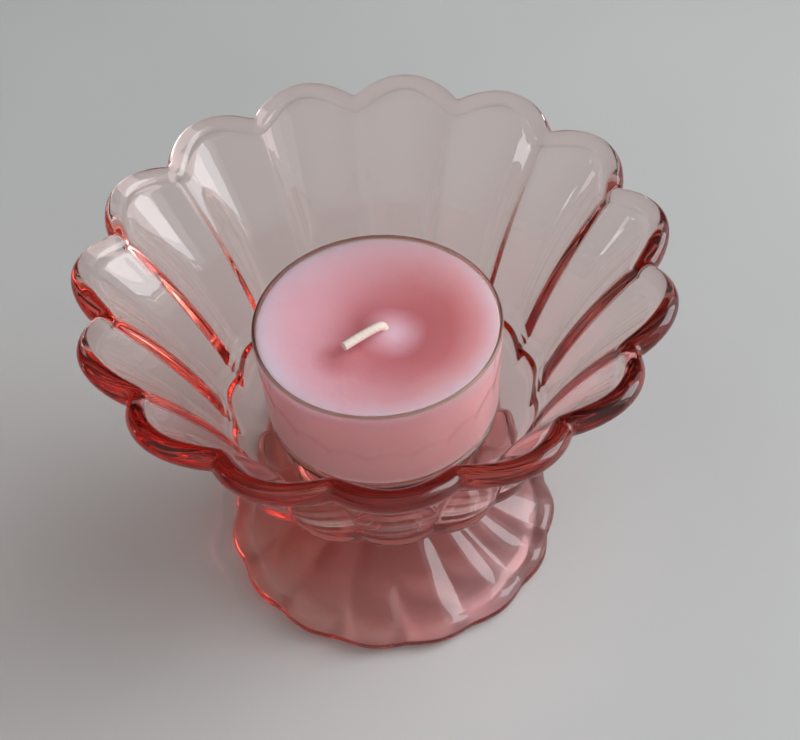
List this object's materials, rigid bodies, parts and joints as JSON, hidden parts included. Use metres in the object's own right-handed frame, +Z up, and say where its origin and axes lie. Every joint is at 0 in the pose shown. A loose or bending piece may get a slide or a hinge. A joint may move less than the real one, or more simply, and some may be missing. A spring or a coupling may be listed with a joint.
{
  "type": "stemmed tealight holder",
  "caption": "Pressed-glass tealight holder: a flared bowl of fluted petals on a short stem and scalloped foot, with a wax tealight in a clear cup that lifts out.",
  "frame": {"origin": "centre of the foot's underside, on the surface that the holder stands on", "axes": "+Z up along the axis of the bowl, stem and foot; -Y towards the front petal"},
  "size_m": [0.0877, 0.0875, 0.0619],
  "materials": {
    "pink_glass": "fire-polished transparent pink glass",
    "clear_cup": "clear moulded polycarbonate",
    "pink_wax": "smooth translucent pink paraffin wax",
    "wick_cotton": "braided cotton stiffened with wax",
    "tinplate": "bare tinplate"
  },
  "bodies": {
    "holder": {"glass_holder": "pink_glass"},
    "tealight": {"tealight_cup": "clear_cup"},
    "candle": {"wax_fill": "pink_wax", "wick": "wick_cotton", "wick_sustainer": "tinplate"}
  },
  "joints": [
    {"name": "tealight_lift", "type": "slide", "parent": "holder", "child": "tealight", "axis": [0, 0, 1], "range_m": [0, 0.045]},
    {"name": "candle_lift", "type": "slide", "parent": "tealight", "child": "candle", "axis": [0, 0, 1], "range_m": [0, 0.045]}
  ]
}
